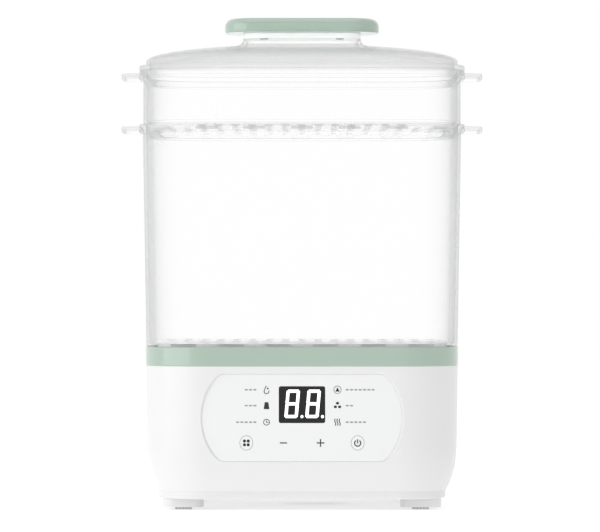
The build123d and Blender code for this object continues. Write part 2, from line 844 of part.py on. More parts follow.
def fan_lid():
    lid = post(fan_radius, fan_top - fan_wall, fan_top, fan_x, fan_y)
    lid += block((outlet_x0, outlet_x1), (fan_y, duct_y0), (fan_top - fan_wall, fan_top))
    return lid - post(fan_intake_radius, fan_top - fan_wall - 1, fan_top + 1, fan_x, fan_y)


def fan_motor():
    z0 = fan_bottom + fan_wall
    return post(motor_radius, z0, z0 + motor_height, fan_x, fan_y) - post(
        shaft_radius + shaft_clearance, z0 + 1, z0 + motor_height + 1, fan_x, fan_y)


def fan_impeller():
    top = impeller_bottom + impeller_height
    body = post(impeller_radius, impeller_bottom, impeller_bottom + impeller_plate, fan_x, fan_y)
    body += post(hub_radius, impeller_bottom, impeller_bottom + impeller_height / 2, fan_x, fan_y)
    body += (post(impeller_radius, top - impeller_plate, top, fan_x, fan_y)
             - post(impeller_radius - impeller_rim_width, top - 2, top + 1, fan_x, fan_y))
    length = impeller_radius - impeller_eye_radius - 0.5
    blade = Pos(impeller_eye_radius + length / 2, 0, impeller_height / 2) * Rot(0, 0, blade_angle) * Box(
        length, blade_thickness, impeller_height - 1)
    for index in range(impeller_blades):
        body += Pos(fan_x, fan_y, impeller_bottom) * Rot(0, 0, 360 / impeller_blades * index) * blade
    return body - post(shaft_radius, impeller_bottom - 1, top + 1, fan_x, fan_y)


def fan_shaft():
    z0 = fan_bottom + fan_wall + 1.5
    return post(shaft_radius, z0, impeller_bottom + impeller_height / 2, fan_x, fan_y)


def air_duct():
    """An upright duct behind the fan: closed below, open to the fan in front and to the deck above."""
    duct = block((outlet_x0, outlet_x1), (duct_y0, duct_y1), (fan_bottom, z_deck))
    duct -= block((outlet_x0 + duct_wall, outlet_x1 - duct_wall), (duct_y0 + duct_wall, duct_y1 - duct_wall),
                  (fan_bottom + fan_wall, z_deck + 1))
    return duct - block((outlet_x0 + fan_wall, outlet_x1 - fan_wall), (duct_y0 - 1, duct_y0 + duct_wall + 1),
                        (fan_bottom + fan_wall, fan_top - fan_wall))


def air_heater():
    gap = drop_in_clearance
    x = (outlet_x0 + duct_wall + gap, outlet_x1 - duct_wall - gap)
    y = (duct_y0 + duct_wall + gap, duct_y1 - duct_wall - gap)
    z = (air_heater_z, air_heater_z + air_heater_height)
    heater = block(x, y, z)
    pitch = (y[1] - y[0]) / fin_count
    for index in range(fin_count):
        middle = y[0] + pitch * (index + 0.5)
        gap_y = (middle - fin_gap / 2, middle + fin_gap / 2)
        heater -= block((x[0] + 2, x[1] - 2), gap_y, (z[0] - 1, z[1] + 1))
    return heater


def air_outlet():
    """A roofed outlet on the deck, with louvres round it so that no water runs in."""
    z_top = z_ring + outlet_height
    outlet = block((outlet_x0, outlet_x1), (duct_y0, duct_y1), (z_ring, z_top))
    outlet = fillet(outlet.edges().filter_by(Axis.Z), outlet_corner)
    outlet -= block((outlet_x0 + duct_wall, outlet_x1 - duct_wall), (duct_y0 + duct_wall, duct_y1 - duct_wall),
                    (z_ring - 1, z_top - outlet_roof))
    louvre_z = (z_top - outlet_roof - louvre_height, z_top - outlet_roof)
    for index in range(louvre_count):
        x = outlet_x0 + (index + 0.5) * (outlet_x1 - outlet_x0) / louvre_count
        outlet -= block((x - louvre_width / 2, x + louvre_width / 2), (duct_y0 - 1, duct_y0 + duct_wall + 1),
                        louvre_z)
    return outlet


# ----------------------------------------------------------------------------------------
# Power electronics
# ----------------------------------------------------------------------------------------
def on_power_board(size, place):
    """A component's body standing on the power board."""
    x = power_board_x + place[0]
    y = power_board_y + place[1]
    return Pos(x, y, power_board_top + size[2] / 2) * Box(*size)


def power_board():
    return Pos(power_board_x, power_board_y, power_board_bottom + board_thickness / 2) * Box(
        power_board_width, power_board_length, board_thickness)


def transformer():
    width, length, height = transformer_size
    core = on_power_board((width, length * 0.55, height), transformer_place)
    return core + on_power_board((width * 0.6, length, height * 0.75), transformer_place)


def relay():
    body = on_power_board(relay_size, relay_place)
    return fillet(body.faces().sort_by(Axis.Z)[-1].edges(), component_fillet)


def capacitor():
    body = post(capacitor_radius, power_board_top, power_board_top + capacitor_height,
                power_board_x + capacitor_place[0], power_board_y + capacitor_place[1])
    return fillet(body.faces().sort_by(Axis.Z)[-1].edges(), component_fillet)


# ----------------------------------------------------------------------------------------
# Air filter and cord gland in the back
# ----------------------------------------------------------------------------------------
def filter_element():
    back = filter_cover_back
    return front_prism(filter_rect(0), back - filter_thickness, back)


def filter_cover():
    cover = front_prism(filter_rect(filter_cover_margin), filter_cover_back, filter_cover_face)
    cover = fillet(cover.faces().sort_by(Axis.Y)[-1].edges(), 0.8)
    slot = SlotOverall(filter_width - 6, filter_louvre_height)
    for louvre in GridLocations(0, filter_louvre_pitch, 1, filter_louvres):
        cover -= front_prism(Pos(filter_x, filter_z) * louvre * slot, filter_cover_back - 1, half_depth + 1)
    return cover


def cord_gland():
    inner_end = gland_face - gland_boss_depth - gland_nut_height - 1
    gland = rod_y(gland_neck_radius, inner_end, gland_face, gland_x, gland_z)
    flange = rod_y(gland_flange_radius, gland_face, gland_face + gland_flange, gland_x, gland_z)
    flange = fillet(flange.faces().sort_by(Axis.Y)[-1].edges(), 1.0)
    return gland + flange - rod_y(gland_bore, inner_end - 1, half_depth + 5, gland_x, gland_z)


def gland_nut():
    back = gland_face - gland_boss_depth
    hexagon = Pos(gland_x, gland_z) * RegularPolygon(gland_flange_radius, 6)
    nut = front_prism(hexagon, back - gland_nut_height, back)
    return nut - rod_y(gland_neck_radius, back - gland_nut_height - 1, back + 1, gland_x, gland_z)


# ----------------------------------------------------------------------------------------
# One file for each piece
# ----------------------------------------------------------------------------------------
pieces = (
    base_housing, deck, trim_ring, bottom_cover, foot_pads, base_screws,
    control_panel, display_window, display_module, control_board, board_screws,
    touch_contacts, indicator_lamps, buzzer,
    heating_plate, plate_seal, plate_clamp, heating_element, thermostat, thermal_fuse, fuse_strap,
    fan_case, fan_lid, fan_motor, fan_impeller, fan_shaft, air_duct, air_heater, air_outlet,
    power_board, transformer, relay, capacitor,
    filter_frame, filter_element, filter_cover, cord_gland, gland_nut,
    bottle_rack, chamber, upper_tier, upper_tray, lid_shell, lid_handle, handle_screws,
)

os.makedirs("parts", exist_ok=True)
for piece in pieces:
    export_step(piece(), f"parts/{piece.__name__}.step")
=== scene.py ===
import bpy
import bmesh
import json
import math
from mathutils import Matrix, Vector


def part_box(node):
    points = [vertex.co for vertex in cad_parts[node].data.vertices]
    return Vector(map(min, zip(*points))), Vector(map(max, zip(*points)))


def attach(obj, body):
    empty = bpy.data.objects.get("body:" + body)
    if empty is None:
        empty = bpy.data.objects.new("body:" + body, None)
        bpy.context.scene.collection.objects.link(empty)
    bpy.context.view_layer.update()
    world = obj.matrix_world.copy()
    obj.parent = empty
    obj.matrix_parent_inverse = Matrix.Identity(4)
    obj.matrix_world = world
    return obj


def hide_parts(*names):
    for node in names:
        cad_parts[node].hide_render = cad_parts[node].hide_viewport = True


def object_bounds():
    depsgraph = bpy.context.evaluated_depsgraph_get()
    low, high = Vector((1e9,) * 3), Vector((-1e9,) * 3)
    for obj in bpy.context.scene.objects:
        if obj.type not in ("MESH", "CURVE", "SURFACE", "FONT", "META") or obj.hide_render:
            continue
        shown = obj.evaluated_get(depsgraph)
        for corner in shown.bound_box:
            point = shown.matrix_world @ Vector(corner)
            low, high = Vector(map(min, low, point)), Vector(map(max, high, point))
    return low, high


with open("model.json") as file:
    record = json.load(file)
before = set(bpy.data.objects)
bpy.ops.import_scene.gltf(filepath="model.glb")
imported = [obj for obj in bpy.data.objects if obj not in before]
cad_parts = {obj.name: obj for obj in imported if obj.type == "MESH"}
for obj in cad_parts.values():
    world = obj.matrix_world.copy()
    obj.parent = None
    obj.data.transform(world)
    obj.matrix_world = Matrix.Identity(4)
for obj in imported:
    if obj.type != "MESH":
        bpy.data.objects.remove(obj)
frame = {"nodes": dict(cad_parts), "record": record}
cad_low, cad_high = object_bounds()

MM = 0.001

# ----------------------------------------------------------------------------------------
# Sizes, in metres: places come from the frame, and finer detail from the values below
# ----------------------------------------------------------------------------------------
housing_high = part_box("base_housing")[1]
ring_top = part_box("trim_ring")[1].z
panel_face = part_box("control_panel")[0].y

half_width = housing_high.x
half_depth = housing_high.y
corner_radius = 45 * MM
corner_steps = 18
round_steps = 4
ear_corner_steps = 8
smooth_angle = 32.0         # degrees: sharper edges stay crisp
weld = 0.001 * MM           # points nearer than this become one

# Panel marks, in millimetres apart from mark_lift
mark_lift = 0.08 * MM       # out from the panel's face
digit_places = ((-7.05, 77.5), (7.95, 77.5))
digit_width, digit_height = 9.6, 20.4
segment_width, segment_gap, segment_chamfer = 2.2, 0.22, 0.9
digit_slant = 5.0           # degrees
point_places = (0.0, 14.7)
point_z = 68.3
point_radius_x, point_radius_z = 1.0, 1.1
key_places = (-40.0, -13.3, 13.3, 40.0)
key_z = 49.4
key_ring_x, key_ring_z, key_ring_line = 4.7, 5.2, 0.32
key_dot_radius, key_dot_offset = 1.12, 1.35
key_sign_line = 0.85        # thickness of the minus and the plus
key_less_width, key_more_size = 5.1, 5.6
power_radius, power_line, power_drop = 2.2, 0.8, 0.15
power_bar_width, power_bar_height, power_bar_rise = 0.75, 2.9, 1.2
icon_x = 25.5
row_places = (87.6, 76.2, 64.3)
drop_radius, drop_line, drop_sink, droplet_radius, droplet_offset = 1.75, 0.55, 1.1, 0.62, 0.9
jar_foot, jar_shoulder, jar_neck, jar_half_height, jar_shoulder_rise = 2.0, 1.5, 1.2, 2.5, 1.2
clock_radius, clock_line, clock_hand, clock_hand_line, clock_hand_drop = 2.1, 0.5, 1.4, 0.45, 0.22
ring_mark_x, ring_mark_z, ring_mark_line = 2.6, 2.75, 0.35
triangle_half, triangle_foot, triangle_top = 1.5, 1.3, 1.8
blade_turns = (90, 210, 330)    # degrees
blade_out, blade_radius_x, blade_radius_z = 1.75, 1.15, 0.98
steam_places = (-1.6, 0.0, 1.6)
steam_height, steam_sway, steam_line = 4.9, 0.38, 0.62
caption_left, caption_right = 33.9, 32.5
caption_pitch, caption_dash, caption_height = 3.1, 2.3, 1.1
caption_counts_left = (3, 3, 5)
caption_counts_right = (7, 2, 5)

# Lid
tier_low, tier_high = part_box("upper_tier")
lid_foot = tier_high.z
flange_z = lid_foot + 3.5 * MM
dome_base = flange_z + 3.1 * MM
neck_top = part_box("lid_shell")[1].z
dome_height = 15.7 * MM
dome_power = 1.35
dome_share = 0.84           # of the dome's height, where the neck takes over
dome_steps = 22
lip_grow = -0.4 * MM
neck_width, neck_depth, neck_corner = 87 * MM, 38 * MM, 14 * MM
neck_edge = 0.6 * MM        # chamfer round the neck's ceiling
neck_ceiling_drop = 0.05 * MM
neck_flare = ((4.5 * MM, -0.9 * MM), (2.2 * MM, -0.2 * MM), (0.9 * MM, 0.9 * MM), (0.2 * MM, 2.4 * MM),
              (0.0, 4.0 * MM))     # out from the neck, and up from the dome's top
lip_wall = 2.0 * MM
lip_depth = 6.0 * MM
lid_wall = 2.2 * MM

# Chamber, upper tier and their ears
chamber_low, chamber_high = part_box("chamber")
spigot_foot = chamber_low.z
spigot_grow = -5.6 * MM
shell_wall = 2.2 * MM
chamber_foot_grow = -0.1 * MM
chamber_top_grow = 2.5 * MM
rim_grow = 5.0 * MM
rim_height = 4.2 * MM
tier_grow = 2.1 * MM
tier_skirt_grow = -0.1 * MM
tier_skirt_wall = 2.0 * MM
tier_ledge_width = 7.0 * MM
tier_ledge_height = 1.8 * MM
ear_root = 4.6 * MM         # beyond the body's side, just inside the rim
ear_root_half = 29.0 * MM
ear_tip_half = 20.0 * MM
ear_corner = 7.0 * MM
ear_wall = 2.0 * MM
ear_pocket_depth = 2.4 * MM
ear_edge = 0.5 * MM

# Camera, floor and light
camera_distance = 3.0       # from the body's front
eye_height = 0.156
focal_length = 250.6
sensor_width = 36
view_shift_x = -0.003333    # shares of the view's width
view_shift_y = 0.047667
view_depth = 50
floor_size = 14
floor_glow = 0.36
backdrop_share = 0.70       # of the white backdrop, that lights the object
studio_middle = (0, 0, 0.18)
studio_lights = (           # name, place, aim, size and watts
    ("key_left", (-1.39, -0.8, 0.65), (0, 0, 0.3), (1.75, 1.3), 9),
    ("fill_front", (0.3, -2.6, 1.1), studio_middle, (2.0, 1.2), 3),
    ("top", (0, -0.1, 1.9), studio_middle, (1.4, 1.2), 4),
)

# Surfaces
grain_height = 0.1 * MM
ripple_height = 0.4 * MM
brush_height = 0.05 * MM
plastic_ior = 1.2           # lower than solid plastic's, for a thin wall's weaker reflections
edge_shade_power = 3.0       # how closely the painted shade keeps to the edges


# ----------------------------------------------------------------------------------------
# Materials
# ----------------------------------------------------------------------------------------
def new_material(name):
    """A node material, its tree and its Principled shader."""
    material = bpy.data.materials.new(name)
    material.use_nodes = True
    return material, material.node_tree, material.node_tree.nodes["Principled BSDF"]


def add_noise(tree, scale, detail=4.0):
    """Noise fixed to the object, as a value."""
    coordinates = tree.nodes.new("ShaderNodeTexCoord")
    noise = tree.nodes.new("ShaderNodeTexNoise")
    noise.inputs["Scale"].default_value = scale
    noise.inputs["Detail"].default_value = detail
    tree.links.new(coordinates.outputs["Object"], noise.inputs["Vector"])
    return noise.outputs["Fac"]


def add_range(tree, value, low, high):
    """value, from 0.3 to 0.7, spread over low to high."""
    spread = tree.nodes.new("ShaderNodeMapRange")
    spread.inputs["From Min"].default_value = 0.3
    spread.inputs["From Max"].default_value = 0.7
    spread.inputs["To Min"].default_value = low
    spread.inputs["To Max"].default_value = high
    tree.links.new(value, spread.inputs["Value"])
    return spread.outputs["Result"]


def add_ramp(tree, value, dark, light):
    """value, from 0.3 to 0.7, spread over two colours."""
    ramp = tree.nodes.new("ShaderNodeValToRGB")
    ramp.color_ramp.elements[0].position = 0.3
    ramp.color_ramp.elements[1].position = 0.7
    ramp.color_ramp.elements[0].color = (*dark, 1)
    ramp.color_ramp.elements[1].color = (*light, 1)
    tree.links.new(value, ramp.inputs["Fac"])
    return ramp.outputs["Color"]


def add_bump(tree, height, strength, distance):
    bump = tree.nodes.new("ShaderNodeBump")
    bump.inputs["Strength"].default_value = strength
    bump.inputs["Distance"].default_value = distance
    tree.links.new(height, bump.inputs["Height"])
    return bump.outputs["Normal"]


def moulded(name, colour, roughness, variation=0.02, grain=900.0, bump=0.05, coat=0.0, specular=0.5):
    """Moulded plastic, rubber or plain metal: slight mottling, uneven gloss and a fine surface grain."""
    material, tree, shader = new_material(name)
    mottle = add_noise(tree, 7.0, 1.0)
    dark = tuple(channel * (1 - variation) for channel in colour)
    tree.links.new(add_ramp(tree, mottle, dark, colour), shader.inputs["Base Color"])
    gloss = add_noise(tree, 20.0, 2.0)
    tree.links.new(add_range(tree, gloss, roughness * 0.92, roughness * 1.08), shader.inputs["Roughness"])
    fine = add_noise(tree, grain, 2.0)
    tree.links.new(add_bump(tree, fine, bump, grain_height), shader.inputs["Normal"])
    shader.inputs["Specular IOR Level"].default_value = specular
    shader.inputs["Coat Weight"].default_value = coat
    shader.inputs["Coat Roughness"].default_value = 0.06
    return material


def clear_plastic(name, colour, edge_shade_colour, face_on, edge_on, edge_power, roughness, glow=0.0):
    """Clear moulded plastic, nearly invisible face on and deeper where its wall is seen edge on, its colour
    darkened by painted shade towards the edges, with a painted glow where glow is given.
    """
    material, tree, shader = new_material(name)
    haze = add_noise(tree, 9.0)
    dark = tuple(channel * 0.985 for channel in colour)
    # painted shade: the colour turns to the darker edge shade colour where the wall is seen edge on
    edge_shading = tree.nodes.new("ShaderNodeMix")
    edge_shading.data_type = "RGBA"
    tree.links.new(add_ramp(tree, haze, dark, colour), edge_shading.inputs["A"])
    edge_shading.inputs["B"].default_value = (*edge_shade_colour, 1)
    tree.links.new(edge_shading.outputs["Result"], shader.inputs["Base Color"])
    # painted glow: the plastic gives off white light of its own, brightening it where it lies in shade
    shader.inputs["Emission Color"].default_value = (1, 1, 1, 1)
    shader.inputs["Emission Strength"].default_value = glow
    gloss = add_noise(tree, 45.0, 5.0)
    tree.links.new(add_range(tree, gloss, roughness * 0.8, roughness * 1.2), shader.inputs["Roughness"])
    ripple = add_noise(tree, 30.0, 2.0)
    tree.links.new(add_bump(tree, ripple, 0.04, ripple_height), shader.inputs["Normal"])
    shader.inputs["IOR"].default_value = plastic_ior
    facing = tree.nodes.new("ShaderNodeLayerWeight")
    facing.inputs["Blend"].default_value = 0.5
    falloff = tree.nodes.new("ShaderNodeMath")
    falloff.operation = "POWER"
    falloff.inputs[1].default_value = edge_power
    tree.links.new(facing.outputs["Facing"], falloff.inputs[0])
    # mask of the painted edge shade
    rim = tree.nodes.new("ShaderNodeMath")
    rim.operation = "POWER"
    rim.inputs[1].default_value = edge_shade_power
    tree.links.new(facing.outputs["Facing"], rim.inputs[0])
    tree.links.new(rim.outputs["Value"], edge_shading.inputs["Factor"])
    opacity = tree.nodes.new("ShaderNodeMapRange")
    opacity.inputs["To Min"].default_value = face_on
    opacity.inputs["To Max"].default_value = edge_on
    tree.links.new(falloff.outputs["Value"], opacity.inputs["Value"])
    clear = tree.nodes.new("ShaderNodeBsdfTransparent")
    mix = tree.nodes.new("ShaderNodeMixShader")
    output = tree.nodes["Material Output"]
    tree.links.new(opacity.outputs["Result"], mix.inputs["Fac"])
    tree.links.new(clear.outputs["BSDF"], mix.inputs[1])
    tree.links.new(shader.outputs["BSDF"], mix.inputs[2])
    tree.links.new(mix.outputs["Shader"], output.inputs["Surface"])
    return material


def brushed_metal(name, colour, roughness, spun):
    """Spun or drawn metal: fine lines round the axis or along it in the roughness and the bump."""
    material, tree, shader = new_material(name)
    coordinates = tree.nodes.new("ShaderNodeTexCoord")
    wave = tree.nodes.new("ShaderNodeTexWave")
    wave.wave_type = "RINGS" if spun else "BANDS"
    if spun:
        wave.rings_direction = "Z"
    wave.inputs["Scale"].default_value = 260.0
    wave.inputs["Distortion"].default_value = 1.5
    wave.inputs["Detail"].default_value = 3.0
    tree.links.new(coordinates.outputs["Object"], wave.inputs["Vector"])
    tree.links.new(add_range(tree, wave.outputs["Fac"], roughness * 0.8, roughness * 1.3),
                   shader.inputs["Roughness"])
    dark = tuple(channel * 0.93 for channel in colour)
    tree.links.new(add_ramp(tree, add_noise(tree, 25.0), dark, colour), shader.inputs["Base Color"])
    tree.links.new(add_bump(tree, wave.outputs["Fac"], 0.08, brush_height), shader.inputs["Normal"])
    shader.inputs["Metallic"].default_value = 1.0
    return material


def lit(name, colour, strength):
    """A lit segment: bright, with the faint unevenness of a diffused lamp."""
    material, tree, shader = new_material(name)
    glow = add_ramp(tree, add_noise(tree, 180.0), tuple(0.94 * channel for channel in colour), colour)
    tree.links.new(glow, shader.inputs["Base Color"])
    tree.links.new(glow, shader.inputs["Emission Color"])
    shader.inputs["Emission Strength"].default_value = strength
    shader.inputs["Roughness"].default_value = 0.4
    return material


materials = {
    "white_shell": moulded("satin_white_abs", (0.75, 0.75, 0.75), 0.30, 0.012, 500.0, 0.015, coat=0.1),
    "panel_white": moulded("printed_panel_white", (0.80, 0.803, 0.806), 0.36, 0.012, 600.0, 0.015),
    "sage_plastic": moulded("sage_green_gloss", (0.36, 0.468, 0.39), 0.22, 0.03, 500.0, 0.015, coat=0.7),
    # the darker second colour of each clear plastic is painted shade at its edges
    "clear_plastic": clear_plastic("clear_polypropylene", (0.72, 0.73, 0.73), (0.26, 0.27, 0.265),
                                   0.006, 0.55, 2.6, 0.14),
    # painted glow on the frosted neck, brightening it where it lies in shade under the cap
    "frosted_plastic": clear_plastic("frosted_polypropylene", (0.90, 0.905, 0.905), (0.5, 0.5, 0.5),
                                     0.97, 1.0, 1.5, 0.3, glow=0.25),
    # painted glow on the milky racks, brightening them where they lie in shade
    "milky_plastic": clear_plastic("milky_polypropylene", (0.95, 0.955, 0.955), (0.75, 0.75, 0.75),
                                   0.37, 0.82, 1.5, 0.25, glow=0.15),
    "dark_window": moulded("smoked_window", (0.020, 0.020, 0.021), 0.25, 0.1, 500.0, 0.01, specular=0.15),
    "display_body": moulded("display_body_grey", (0.2, 0.2, 0.2), 0.5, 0.05),
    "pad_rubber": moulded("pad_rubber_grey", (0.62, 0.62, 0.61), 0.62, 0.06, 700.0, 0.2),
    "seal_silicone": moulded("silicone_white", (0.8, 0.8, 0.78), 0.5, 0.04, 600.0, 0.15),
    "stainless_steel": brushed_metal("spun_stainless", (0.66, 0.66, 0.65), 0.24, True),
    "zinc_steel": brushed_metal("zinc_plated_steel", (0.56, 0.57, 0.58), 0.34, False),
    "heater_alloy": brushed_metal("heater_alloy", (0.45, 0.44, 0.43), 0.42, True),
    "circuit_board": moulded("green_solder_mask", (0.02, 0.13, 0.055), 0.32, 0.15, 400.0, 0.15),
    "contact_foam": moulded("conductive_foam", (0.05, 0.05, 0.05), 0.85, 0.2, 300.0, 0.5),
    "lamp_resin": moulded("lamp_resin", (0.75, 0.78, 0.75), 0.15, 0.03),
    "black_moulding": moulded("black_moulding", (0.03, 0.03, 0.032), 0.45, 0.12, 700.0, 0.15),
    "fuse_ceramic": moulded("fuse_ceramic", (0.68, 0.62, 0.52), 0.55, 0.08, 500.0, 0.2),
    "capacitor_sleeve": moulded("capacitor_sleeve", (0.02, 0.03, 0.10), 0.3, 0.1),
    "grey_moulding": moulded("grey_moulding", (0.36, 0.37, 0.38), 0.48, 0.06, 600.0, 0.15),
    "filter_foam": moulded("filter_foam", (0.06, 0.065, 0.07), 0.9, 0.5, 260.0, 0.9),
    "ink_dark": moulded("ink_black", (0.008, 0.008, 0.009), 0.45, 0.1, 1500.0, 0.05),
    "ink_soft": moulded("ink_grey", (0.035, 0.035, 0.037), 0.45, 0.1, 1500.0, 0.05),
    "ink_pale": moulded("ink_pale_grey", (0.30, 0.30, 0.305), 0.45, 0.05, 1500.0, 0.05),
    "lit_segment": lit("lit_segment", (1.0, 1.0, 1.0), 0.9),
}

for part in frame["record"]["subparts"]:
    node = frame["nodes"][part["node"]]
    node.data.materials.clear()
    node.data.materials.append(materials[part["material_slot"]])

# ----------------------------------------------------------------------------------------
# Making pieces
# ----------------------------------------------------------------------------------------
def add_piece(name, mesh, body, material, smooth=False):
    """A bmesh made into a piece that rides on a body."""
    bmesh.ops.recalc_face_normals(mesh, faces=mesh.faces[:])
    data = bpy.data.meshes.new(name)
    mesh.to_mesh(data)
    mesh.free()
    data.materials.append(material)
    piece = bpy.data.objects.new(name, data)
    bpy.context.scene.collection.objects.link(piece)
    if smooth:
        data.shade_smooth()
        data.set_sharp_from_angle(angle=math.radians(smooth_angle))
    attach(piece, body)
    return piece


def plan_ring(grow, z, width=None, depth=None, corner=None, scale=1.0):
    """Points round a rounded rectangle: the body's outline grown by grow, or one of its own size."""
    corner = scale * ((corner_radius if corner is None else corner) + grow)
    half_x = scale * ((half_width if width is None else width / 2) + grow) - corner
    half_y = scale * ((half_depth if depth is None else depth / 2) + grow) - corner
    points = []
    for quarter in range(4):
        centre_x = half_x if quarter in (0, 3) else -half_x
        centre_y = half_y if quarter in (0, 1) else -half_y
        for step in range(corner_steps + 1):
            turn = math.radians(90 * (quarter + step / corner_steps))
            points.append(Vector((centre_x + corner * math.cos(turn), centre_y + corner * math.sin(turn), z)))
    return points


def add_bands(mesh, rings, closed=False, cap_ends=False):
    """Walls between rings of points, which are closed into a tube's loop or capped at both ends."""
    loops = [[mesh.verts.new(point) for point in ring] for ring in rings]
    pairs = list(zip(loops, loops[1:] + loops[:1])) if closed else list(zip(loops, loops[1:]))
    for below, above in pairs:
        for index in range(len(below)):
            after = (index + 1) % len(below)
            mesh.faces.new((below[index], below[after], above[after], above[index]))
    if cap_ends:
        mesh.faces.new(loops[0])
        mesh.faces.new(loops[-1])


def rounded_profile(corners):
    """(grow, z, radius) corners of a closed profile, each rounded by its radius into a few points."""
    points = []
    for index, (grow, z, radius) in enumerate(corners):
        corner = Vector((grow, z))
        to_last = Vector(corners[index - 1][:2]) - corner
        to_next = Vector(corners[(index + 1) % len(corners)][:2]) - corner
        if radius == 0:
            points.append(corner)
            continue
        start = corner + to_last.normalized() * min(radius, 0.45 * to_last.length)
        end = corner + to_next.normalized() * min(radius, 0.45 * to_next.length)
        for step in range(round_steps + 1):
            share = step / round_steps
            points.append((1 - share) ** 2 * start + 2 * share * (1 - share) * corner + share ** 2 * end)
    return points


# ----------------------------------------------------------------------------------------
# Printed marks and lit digits on the panel
# ----------------------------------------------------------------------------------------
def loop_arc(x, z, radius_x, radius_z, start=0.0, sweep=360.0, steps=28):
    """Points on an ellipse's arc, in degrees from +X towards +Z."""
    count = steps if sweep == 360.0 else steps + 1
    turns = [math.radians(start + sweep * index / steps) for index in range(count)]
    return [(x + radius_x * math.cos(turn), z + radius_z * math.sin(turn)) for turn in turns]


def stroke(points, width, closed=False):
    """Four-sided faces along a line of points, mitred where it turns."""
    count = len(points)
    left, right = [], []
    for index in range(count):
        last = points[index - 1] if closed or index else points[index]
        after = points[(index + 1) % count] if closed or index < count - 1 else points[index]
        along = Vector((after[0] - last[0], after[1] - last[1])).normalized()
        side = Vector((-along.y, along.x)) * width / 2
        left.append((points[index][0] + side.x, points[index][1] + side.y))
        right.append((points[index][0] - side.x, points[index][1] - side.y))
    faces = []
    for index in range(count if closed else count - 1):
        after = (index + 1) % count
        faces.append([left[index], right[index], right[after], left[after]])
    return faces


def capsule(x, z, length, height):
    """A level bar with round ends, about its centre."""
    half = (length - height) / 2
    return (loop_arc(x + half, z, height / 2, height / 2, -90, 180, 8)
            + loop_arc(x - half, z, height / 2, height / 2, 90, 180, 8))


def bar(x, z, width, height):
    """A rectangle about its centre."""
    return [(x - width / 2, z - height / 2), (x + width / 2, z - height / 2),
            (x + width / 2, z + height / 2), (x - width / 2, z + height / 2)]


def wave_line(x, z, height, sway):
    """A wavy upright line of points."""
    steps = 14
    return [(x + sway * math.sin(2 * math.pi * index / steps), z + height * (index / steps - 0.5))
            for index in range(steps + 1)]


def seven_segments(x, z, width, height, thick, gap, chamfer, slant):
    """The seven faces of a figure eight, with mitred joints and a forward slant."""
    half_x, half_z, middle = width / 2, height / 2, thick / 2
    across = [(-half_x + gap + chamfer, half_z), (half_x - gap - chamfer, half_z),
              (half_x - gap - chamfer / 2, half_z - chamfer / 2), (half_x - gap - thick, half_z - thick),
              (-half_x + gap + thick, half_z - thick), (-half_x + gap + chamfer / 2, half_z - chamfer / 2)]
    upright = [(half_x, half_z - gap - chamfer), (half_x, gap), (half_x - middle, gap),
               (half_x - thick, middle + gap), (half_x - thick, half_z - thick - gap),
               (half_x - chamfer / 2, half_z - gap - chamfer / 2)]
    waist = [(-half_x + middle + gap, 0), (-half_x + thick + gap, middle), (half_x - thick - gap, middle),
             (half_x - middle - gap, 0), (half_x - thick - gap, -middle), (-half_x + thick + gap, -middle)]
    faces = [waist]
    for flip_z in (1, -1):
        faces.append([(px, flip_z * pz) for px, pz in across])
        for flip_x in (1, -1):
            faces.append([(flip_x * px, flip_z * pz) for px, pz in upright])
    lean = math.tan(math.radians(slant))
    return [[(x + px + pz * lean, z + pz) for px, pz in face] for face in faces]


def add_marks(name, faces, material):
    """Thin raised marks on the panel's face, from faces given in millimetres in X and Z."""
    mesh = bmesh.new()
    for face in faces:
        mesh.faces.new([mesh.verts.new((px * MM, panel_face, pz * MM)) for px, pz in face])
    bmesh.ops.remove_doubles(mesh, verts=mesh.verts[:], dist=weld)
    grown = bmesh.ops.extrude_face_region(mesh, geom=mesh.faces[:])
    moved = [element for element in grown["geom"] if isinstance(element, bmesh.types.BMVert)]
    bmesh.ops.translate(mesh, verts=moved, vec=(0, -mark_lift, 0))
    return add_piece(name, mesh, "base", material)


def make_display():
    """Two lit digits, each with its point."""
    digits = []
    for x, z in digit_places:
        digits += seven_segments(x, z, digit_width, digit_height, segment_width, segment_gap,
                                 segment_chamfer, digit_slant)
    add_marks("display_digits", digits, materials["lit_segment"])
    points = [loop_arc(x, point_z, point_radius_x, point_radius_z) for x in point_places]
    add_marks("display_points", points, materials["lit_segment"])


def make_keys():
    """The key row: choose, less, more and on-off."""
    choose_x, less_x, more_x, power_x = key_places
    rings = []
    for x in (choose_x, power_x):
        rings += stroke(loop_arc(x, key_z, key_ring_x, key_ring_z, steps=48), key_ring_line, closed=True)
    add_marks("key_rings", rings, materials["ink_pale"])
    dots = [loop_arc(choose_x + dx, key_z + dz, key_dot_radius, key_dot_radius)
            for dx in (-key_dot_offset, key_dot_offset) for dz in (-key_dot_offset, key_dot_offset)]
    add_marks("key_choose_mark", dots, materials["ink_dark"])
    less = bar(less_x, key_z, key_less_width, key_sign_line)
    add_marks("key_less_mark", [less], materials["ink_soft"])
    arm = (key_more_size - key_sign_line) / 2
    arm_offset = (key_more_size + key_sign_line) / 4
    more = [bar(more_x, key_z, key_more_size, key_sign_line)]
    for offset in (arm_offset, -arm_offset):
        more.append(bar(more_x, key_z + offset, key_sign_line, arm))
    add_marks("key_more_mark", more, materials["ink_soft"])
    arc = loop_arc(power_x, key_z - power_drop, power_radius, power_radius, 125, 290, 26)
    power = stroke(arc, power_line)
    power.append(bar(power_x, key_z + power_bar_rise, power_bar_width, power_bar_height))
    add_marks("key_power_mark", power, materials["ink_dark"])


